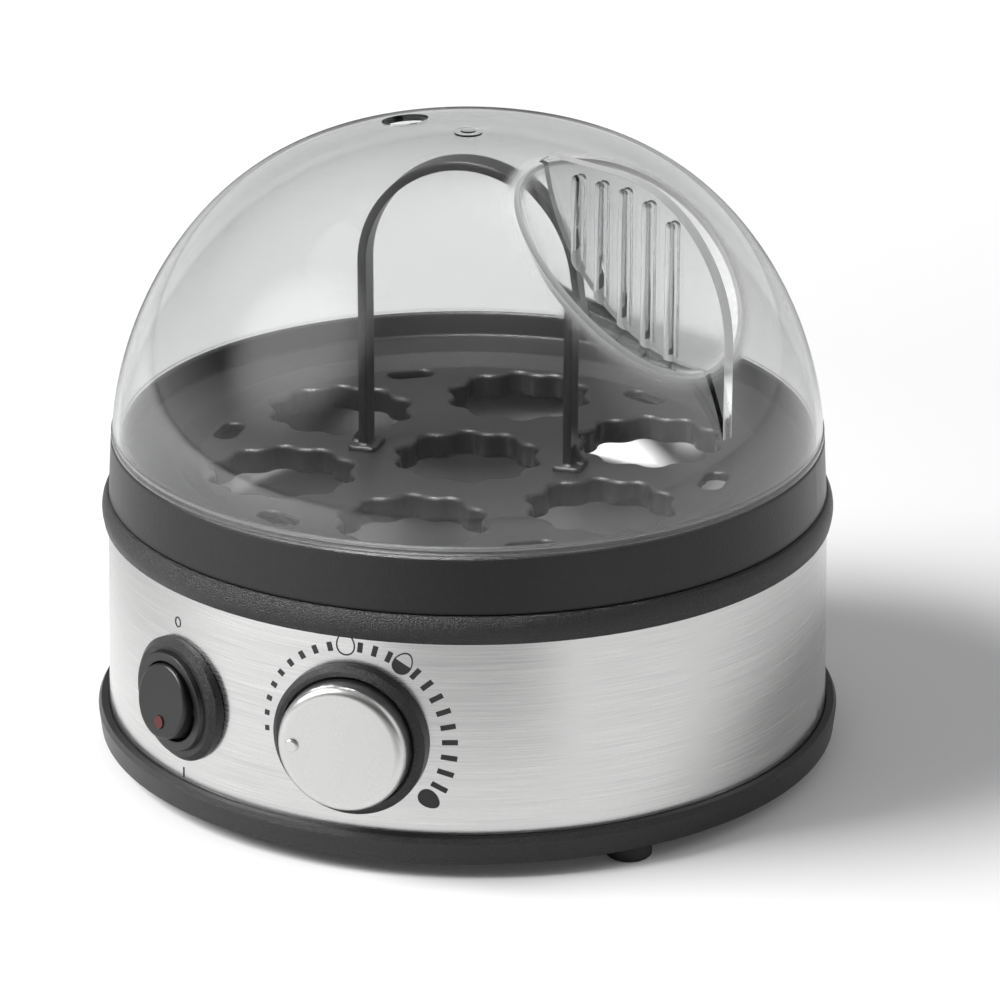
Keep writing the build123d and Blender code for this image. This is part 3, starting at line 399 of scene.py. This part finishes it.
rib_count, rib_first, rib_pitch, rib_radius = 5, 0.0367, 0.00735, 0.0015
rib_sunk, rib_foot_depth, rib_top_gap = 0.0003, 0.003, 0.0041
for place in range(rib_count):
    reach = rib_first + rib_pitch * place
    past_level = max(0.0, reach - (fin_outer - fin_round))
    rib_high = fin_top - fin_round + sqrt(fin_round ** 2 - past_level ** 2) - rib_top_gap
    rib_low = scoop_centre.z - sqrt(scoop_radius ** 2 - (reach - scoop_reach) ** 2) - rib_foot_depth
    for side in (-1, 1):
        stand = fin_way * reach + fin_side * side * (fin_thickness / 2 - rib_sunk)
        combine(clear_lid, "UNION", rod(rib_radius, rib_low, rib_high, stand))

for radius, depth, rise in ((0.0034, 0.001, 0.0005), (0.0018, 0.0008, 0.0009)):
    combine(clear_lid, "UNION", rod(radius, crown - depth, crown + rise, Vector((0, 0, 0)), False))
combine(clear_lid, "DIFFERENCE", taken(under_dome))
vent_turn, vent_reach, vent_radius, crown_deep = radians(-118.5), 0.0214, 0.0056, 0.02
vent_place = Vector((vent_reach * sin(vent_turn), -vent_reach * cos(vent_turn), 0))
combine(clear_lid, "DIFFERENCE", rod(vent_radius, crown - crown_deep, crown + 0.01, vent_place, False))


def dome_way(place, radius, height):
    """Distance from a dome's surface, and the way out of it."""
    across = Vector((place.x, place.y, 0))
    share = max(across.length / radius, 1e-6)
    rise = max((place.z - shoulder_z) / height, 1e-6)
    slope_out = share ** (2 / side_power - 1) * 2 / side_power / radius
    slope_up = rise ** (2 / crown_power - 1) * 2 / crown_power / height
    way = across.normalized() * slope_out + Vector((0, 0, slope_up))
    return (share ** (2 / side_power) + rise ** (2 / crown_power) - 1) / way.length, way.normalized()


def scoop_way(place, growth):
    """Distance from the scoops' spheroid, and the way out of it."""
    offset = place - scoop_centre
    along, across = scoop_radius + growth, scoop_half_width + growth
    parts = [(axis, offset.dot(axis), size)
             for axis, size in ((fin_way, along), (up, along), (fin_side, across))]
    way = sum((axis * value * 2 / size ** 2 for axis, value, size in parts), Vector((0, 0, 0)))
    beyond = sum((value / size) ** 2 for axis, value, size in parts) - 1
    return beyond / max(way.length, 1e-6), way.normalized()


# The lid's curved faces take their true normals, so that what is seen through them isn't rippled.
# The satin and painted sheen is 0 where the skin is polished and 1 where it is dullest: moulded
# edges are dull, a scoop is dull for a few millimetres from its rim, and the scoop behind the fin
# is dull all over. Where it is dull the skin is also made less clear, so its white shows: a painted sheen.
curved = [(lambda place: dome_way(place, lid_radius, lid_height), 1),
          (lambda place: dome_way(place, lid_radius - lid_wall, lid_height - lid_wall), -1),
          (lambda place: scoop_way(place, 0.0), -1),
          (lambda place: scoop_way(place, lid_wall), 1)]
half_fin, foot_top = fin_thickness / 2, shoulder_z + 0.003
crown_end, ribs_start, ribs_end = 0.0185, 0.034, 0.069
off_fin, off_skin, same_way, rim_fade = 0.00005, 0.00006, 0.97, 0.004
lid_mesh = taken(clear_lid)
for face in lid_mesh.faces:
    face.smooth = True
for edge in lid_mesh.edges:
    if edge.is_manifold and edge.calc_face_angle(0) > radians(25):
        edge.smooth = False
lid_data = bpy.data.meshes.new("clear_lid")
lid_mesh.to_mesh(lid_data)
lid_mesh.free()
normals = [Vector(corner.vector) for corner in lid_data.corner_normals]
sharp = {corner for edge in lid_data.edges if edge.use_edge_sharp for corner in edge.vertices}
satin_and_painted_sheen = [0.0] * len(normals)
for face in lid_data.polygons:
    off_middle, along_fin = abs(face.center.dot(fin_side)), face.center.dot(fin_way)
    fin_flat = abs(face.normal.dot(fin_side)) > 0.9 and abs(off_middle - half_fin) < off_fin
    round_crown = along_fin < crown_end and face.center.z > crown - crown_deep
    on_rib = off_middle > half_fin + off_fin and ribs_start < along_fin < ribs_end
    in_foot = face.center.z < foot_top
    polished = fin_flat or round_crown
    if not polished:
        for corner in face.loop_indices:
            at_edge = lid_data.loops[corner].vertex_index in sharp
            satin_and_painted_sheen[corner] = at_edge * (0.3 if on_rib or in_foot else 1.0)
    for number, (measure, outward) in enumerate(curved):
        distance, way = measure(face.center)
        if abs(distance) < off_skin and way.dot(face.normal) * outward > same_way:
            behind = number > 1 and (face.center - scoop_centre).dot(fin_side) < 0
            for corner in face.loop_indices:
                point = lid_data.vertices[lid_data.loops[corner].vertex_index].co
                normals[corner] = measure(point)[1] * outward
                if not polished and not in_foot:
                    to_rim = abs(curved[(number + 2) % 4][0](point)[0])
                    satin_and_painted_sheen[corner] = max(0.5 * behind, 0.8 - to_rim / rim_fade)
            break
lid_data.normals_split_custom_set(normals)
lid_data.attributes.new("edge_satin_and_painted_sheen", "FLOAT", "CORNER").data.foreach_set("value", satin_and_painted_sheen)
clear_lid = bpy.data.objects.new("clear_lid", lid_data)
bpy.context.scene.collection.objects.link(clear_lid)
for item in lid_data.vertices:
    item.co.y += axis_y
lid_data.materials.clear()
lid_data.materials.append(clear_styrene)
clear_lid.visible_shadow = False
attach(clear_lid, "lid")
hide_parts("lid")

# Scale printed round the dial, and the switch's two marks
# Black screen print on the steel: ticks that grow clockwise, three eggs from empty to full, and
# the ring and bar for off and on. The ink is a film a few hundredths thick.
band_foot, band_head = (0.007, 0.0885), (0.060, 0.0876)
print_lift, ink_film = 0.00003, 0.00004
dial_across, dial_height = radians(-1.4) * 0.088, 0.0333
mark_count, first_egg, half_egg, full_egg = 24, 9, 13, 23
tick_start, tick_width, tick_shortest, tick_growth = 0.0214, 0.00125, 0.0011, 0.0030
egg_reach, egg_width, egg_length = 0.0231, 0.0046, 0.0058
switch_across, off_height, on_height = radians(-33.9) * 0.0881, 0.0504, 0.0127
off_half_width, off_half_length, on_width, on_length = 0.00115, 0.00135, 0.00045, 0.0026


def laid_ring(target, points, centre, tilt):
    """The corners of an outline, turned about its own centre and laid on the band's cone."""
    ring = []
    for across, along in points:
        x = centre[0] + across * cos(tilt) - along * sin(tilt)
        z = centre[1] + across * sin(tilt) + along * cos(tilt)
        share = (z - band_foot[0]) / (band_head[0] - band_foot[0])
        radius = band_foot[1] + share * (band_head[1] - band_foot[1])
        turn, lifted = x / radius, radius + print_lift
        ring.append(target.verts.new(Vector((lifted * sin(turn), axis_y - lifted * cos(turn), z))))
    return ring


def print_filled(target, points, centre, tilt):
    """Adds a filled outline to the print."""
    target.faces.new(laid_ring(target, points, centre, tilt))


def print_line(target, outer, inner, centre, tilt):
    """Adds the line between two matching outlines to the print."""
    rings = [laid_ring(target, points, centre, tilt) for points in (outer, inner)]
    edges = [target.edges.new((ring[i - 1], ring[i])) for ring in rings for i in range(len(ring))]
    bmesh.ops.bridge_loops(target, edges=edges)


def bar_points(width, length):
    """The four corners of a tick, with two more on each long side so that it follows the band."""
    half, steps = width / 2, 3
    left = [(-half, -length / 2 + length * i / steps) for i in range(steps + 1)]
    right = [(half, length / 2 - length * i / steps) for i in range(steps + 1)]
    return right + left


def egg_points(width, length, count=36):
    """An egg's outline, pointed end up."""
    points = []
    for i in range(count):
        turn = 2 * pi * i / count
        taper = 1 - 0.16 * sin(turn)
        points.append((width / 2 * cos(turn) * taper, length / 2 * sin(turn)))
    return points


def scale_angle(place):
    """Where a mark of the scale stands, in degrees from the right, anticlockwise."""
    if place <= first_egg:
        return 184.0 - 10.05 * place
    if place <= half_egg:
        return 93.5 - 8.9 * (place - first_egg)
    return 58.0 - 9.5 * (place - half_egg)


ink_mesh = bmesh.new()
for place in range(mark_count):
    angle = radians(scale_angle(place))
    tilt = angle - pi / 2
    if place in (first_egg, half_egg, full_egg):
        centre = (dial_across + egg_reach * cos(angle), dial_height + egg_reach * sin(angle))
        egg = egg_points(egg_width, egg_length)
        if place == full_egg:
            print_filled(ink_mesh, egg_points(egg_width - 0.0004, egg_length - 0.0002), centre, tilt)
        else:
            print_line(ink_mesh, egg, [(x * 0.86, z * 0.88) for x, z in egg], centre, tilt)
        if place == half_egg:
            lower = [(x * 0.87, z * 0.89) for x, z in egg if z <= 0.0001]
            print_filled(ink_mesh, lower, centre, tilt)
        continue
    length = tick_shortest + tick_growth * place / (mark_count - 2)
    reach = tick_start + length / 2
    print_filled(ink_mesh, bar_points(tick_width, length),
                 (dial_across + reach * cos(angle), dial_height + reach * sin(angle)), tilt)
off_turns = [2 * pi * i / 32 for i in range(32)]
off_ring = [(off_half_width * cos(turn), off_half_length * sin(turn)) for turn in off_turns]
print_line(ink_mesh, off_ring, [(x * 0.72, z * 0.76) for x, z in off_ring],
           (switch_across - 0.0008, off_height), 0)
print_filled(ink_mesh, bar_points(on_width, on_length), (switch_across + 0.0008, on_height), 0)
bmesh.ops.recalc_face_normals(ink_mesh, faces=ink_mesh.faces)
bmesh.ops.solidify(ink_mesh, geom=ink_mesh.faces, thickness=-ink_film)
bmesh.ops.recalc_face_normals(ink_mesh, faces=ink_mesh.faces)
ink_data = bpy.data.meshes.new("printed_scale")
ink_mesh.to_mesh(ink_data)
ink_mesh.free()
printed_scale = bpy.data.objects.new("printed_scale", ink_data)
bpy.context.scene.collection.objects.link(printed_scale)
ink_mottle_mm = 0.5
ink, ink_surface = named_material("black_screen_ink")
ink_place = add_node(ink, "TexCoord").outputs["Object"]
ink_mottle = add_node(ink, "TexNoise", {"Vector": ink_place, "Scale": 1000 / ink_mottle_mm, "Detail": 2.0})
ink_dull = add_node(ink, "MapRange", {"Value": ink_mottle.outputs["Fac"], "To Min": 0.4, "To Max": 0.6})
link(ink, ink_dull.outputs["Result"], ink_surface, "Roughness")
ink_surface.inputs["Base Color"].default_value = linear("262626")
printed_scale.data.materials.append(ink)
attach(printed_scale, "base")

# Floor
# A white paper sweep. To the eye it fades to plain white away from the cooker. In mirrors it is
# painted greyer in three sectors, as wide as dark cards would be: painted reflection shade that shapes the
# steel's reflections.
floor_mesh = bmesh.new()
bmesh.ops.create_grid(floor_mesh, x_segments=1, y_segments=1, size=4.0)
floor_data = bpy.data.meshes.new("floor")
floor_mesh.to_mesh(floor_data)
floor_mesh.free()
floor = bpy.data.objects.new("floor", floor_data)
bpy.context.scene.collection.objects.link(floor)
paper, paper_surface = named_material("white_paper")
paper_surface.inputs["Roughness"].default_value = 0.9
paper_surface.inputs["Specular IOR Level"].default_value = 0.1
paper_rays = add_node(paper, "LightPath").outputs
looked_at = add_node(paper, "Math", {0: paper_rays["Is Camera Ray"], 1: paper_rays["Is Transmission Ray"]},
                     operation="MAXIMUM")
mirrored = add_node(paper, "Math", {0: paper_rays["Is Glossy Ray"], 1: paper_rays["Is Reflection Ray"]},
                    operation="MULTIPLY")
paper_place = add_node(paper, "TexCoord").outputs["Object"]
paper_way = add_node(paper, "VectorMath", {0: paper_place}, operation="NORMALIZE")
paper_reach = add_node(paper, "VectorMath", {0: paper_place}, operation="LENGTH")
far_off = add_node(paper, "MapRange", {"Value": paper_reach.outputs["Value"], "From Min": 0.3,
                                       "From Max": 0.8, "To Min": 0.03, "To Max": 0.28})
paper_glow = add_node(paper, "Math", {0: looked_at.outputs[0], 1: far_off.outputs["Result"]},
                      operation="MULTIPLY")
paper_tone_and_mirror_shade = linear("f4f4f4")
# Painted reflection shade: each sector greys the paper only for rays mirrored off the steel.
for turn, wide, tight, near, far, tone in ((16, 30, 6, 0.12, 0.24, "b8b8b8"),
                                           (-108, 62, 20, 0.12, 0.24, "cccccc"),
                                           (196, 50, 15, 0.25, 0.4, "7c7c7c")):
    mirror_shade_way = (sin(radians(turn)), -cos(radians(turn)), 0)
    facing = add_node(paper, "VectorMath", {0: paper_way.outputs["Vector"], 1: mirror_shade_way},
                      operation="DOT_PRODUCT")
    sector = add_node(paper, "MapRange", {"Value": facing.outputs["Value"],
                                          "From Min": cos(radians(wide)), "From Max": cos(radians(tight))},
                      interpolation_type="SMOOTHSTEP")
    beyond = add_node(paper, "MapRange", {"Value": paper_reach.outputs["Value"], "From Min": near,
                                          "From Max": far}, interpolation_type="SMOOTHSTEP")
    in_mirror = add_node(paper, "Math", {0: beyond.outputs["Result"], 1: mirrored.outputs[0]},
                         operation="MULTIPLY")
    mirror_shade = add_node(paper, "Math", {0: sector.outputs["Result"], 1: in_mirror.outputs[0]},
                    operation="MULTIPLY")
    paper_tone_and_mirror_shade = add_node(paper, "Mix", {0: mirror_shade.outputs[0], 6: paper_tone_and_mirror_shade, 7: linear(tone)},
                          data_type="RGBA").outputs[2]
link(paper, paper_tone_and_mirror_shade, paper_surface, "Base Color")
paper_surface.inputs["Emission Color"].default_value = (1, 1, 1, 1)
link(paper, paper_glow.outputs[0], paper_surface, "Emission Strength")
floor.data.materials.append(paper)

# Room
# Pale low down, dim half way up, with a bright window on the left, a weaker one on the right and
# a soft ceiling. Seen through the lid it is a little brighter, as the sweep behind it is.
room = bpy.data.worlds.new("room")
bpy.context.scene.world = room
room.use_nodes = True
room.node_tree.nodes.clear()
room_way = add_node(room, "TexCoord").outputs["Generated"]
room_rise = add_node(room, "SeparateXYZ", {0: room_way})
room_level = add_node(room, "ValToRGB", {"Fac": room_rise.outputs["Z"]})
room_level.color_ramp.elements[0].position = 0.0
room_level.color_ramp.elements[0].color = (0.6, 0.6, 0.6, 1)
room_level.color_ramp.elements[1].position = 0.28
room_level.color_ramp.elements[1].color = (0.08, 0.08, 0.08, 1)
for height, level in ((0.66, 0.08), (0.9, 0.42)):
    room_level.color_ramp.elements.new(height).color = (level, level, level, 1)
room_glow = room_level.outputs["Color"]
for turn, rise, wide, tight, strength in ((-60, 36, 28, 5, 1.7), (104, 30, 36, 10, 0.9)):
    window_way = Vector((sin(radians(turn)) * cos(radians(rise)), -cos(radians(turn)) * cos(radians(rise)),
                         sin(radians(rise))))
    facing = add_node(room, "VectorMath", {0: room_way, 1: window_way}, operation="DOT_PRODUCT")
    window = add_node(room, "MapRange", {"Value": facing.outputs["Value"], "From Min": cos(radians(wide)),
                                         "From Max": cos(radians(tight)), "To Min": 0.0, "To Max": strength},
                      interpolation_type="SMOOTHSTEP")
    room_glow = add_node(room, "Mix", {0: 1.0, 6: room_glow, 7: window.outputs["Result"]},
                         data_type="RGBA", blend_type="ADD").outputs[2]
room_rays = add_node(room, "LightPath").outputs
unscattered = add_node(room, "Math", {0: room_rays["Diffuse Depth"], 1: 0.5}, operation="LESS_THAN")
through_lid = add_node(room, "Math", {0: unscattered.outputs[0], 1: room_rays["Is Transmission Ray"]},
                       operation="MULTIPLY")
sweep_level = add_node(room, "MapRange", {"Value": room_rays["Glossy Depth"], "To Min": 0.34, "To Max": 0.2})
sweep_behind = add_node(room, "Math", {0: through_lid.outputs[0], 1: sweep_level.outputs["Result"]},
                        operation="MULTIPLY")
room_glow = add_node(room, "Mix", {0: 1.0, 6: room_glow, 7: sweep_behind.outputs[0]},
                     data_type="RGBA", blend_type="ADD").outputs[2]
room_light = add_node(room, "Background", {"Color": room_glow, "Strength": 1.0})
add_node(room, "OutputWorld", {"Surface": room_light.outputs["Background"]})

# Lamps
# One large soft box stands high on the left. The lid has its own copy, which it doesn't mirror,
# so that no white square lies on the dome. Two small boxes overhead light only the dark tray.


def soft_box(name, place, size, power, mirrored, lit):
    """A square area lamp that faces the cooker and lights only the pieces it is given."""
    lamp = bpy.data.lights.new(name, "AREA")
    lamp.shape = "SQUARE"
    lamp.size = size
    lamp.energy = power
    holder = bpy.data.objects.new(name, lamp)
    holder.location = place
    holder.rotation_euler = (cooker_middle - Vector(place)).to_track_quat("-Z", "Y").to_euler()
    holder.visible_glossy = mirrored
    holder.visible_transmission = False
    lit_pieces = bpy.data.collections.new(name)
    for piece in lit:
        lit_pieces.objects.link(piece)
    holder.light_linking.receiver_collection = lit_pieces
    bpy.context.scene.collection.objects.link(holder)


cooker_middle = Vector((0, 0, 0.06))
key_place, key_size, key_power = (-1.52, -0.73, 1.42), 1.15, 60.0
opaque_pieces = [piece for piece in bpy.context.scene.collection.all_objects
                 if piece.type == "MESH" and piece != clear_lid]
tray_pieces = [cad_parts["egg_tray"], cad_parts["tray_handle"]]
soft_box("key_left", key_place, key_size, key_power, True, opaque_pieces)
soft_box("key_left_in_lid", key_place, key_size, key_power, False, [clear_lid])
soft_box("strip_behind", (-0.3, 0.35, 1.5), 0.6, 34.0, True, tray_pieces)
soft_box("strip_above", (-0.25, -0.4, 1.45), 0.4, 115.0, True, tray_pieces)

# Camera
# A long lens 1.3 m away and 21 degrees up, found by fitting the steel band's and the collar's
# ellipses. The lid's skins lie many deep along a ray, so the paths are long.
camera_data = bpy.data.cameras.new("camera")
camera_data.sensor_width = 36.0
camera_data.lens = 190.13
camera_data.clip_start = 0.05
camera = bpy.data.objects.new("camera", camera_data)
swing, dip, roll = radians(16.0), 0.365, 0.0032
camera.matrix_world = (Matrix.Translation((0.339846, axis_y - 1.156663, 0.52072))
                       @ Matrix.Rotation(swing, 4, "Z") @ Matrix.Rotation(pi / 2 - dip, 4, "X")
                       @ Matrix.Rotation(roll, 4, "Z"))
bpy.context.scene.collection.objects.link(camera)
bpy.context.scene.camera = camera
bpy.context.scene.view_settings.view_transform = "Standard"
bpy.context.scene.cycles.max_bounces = 32
bpy.context.scene.cycles.transmission_bounces = 32
bpy.context.scene.cycles.glossy_bounces = 12
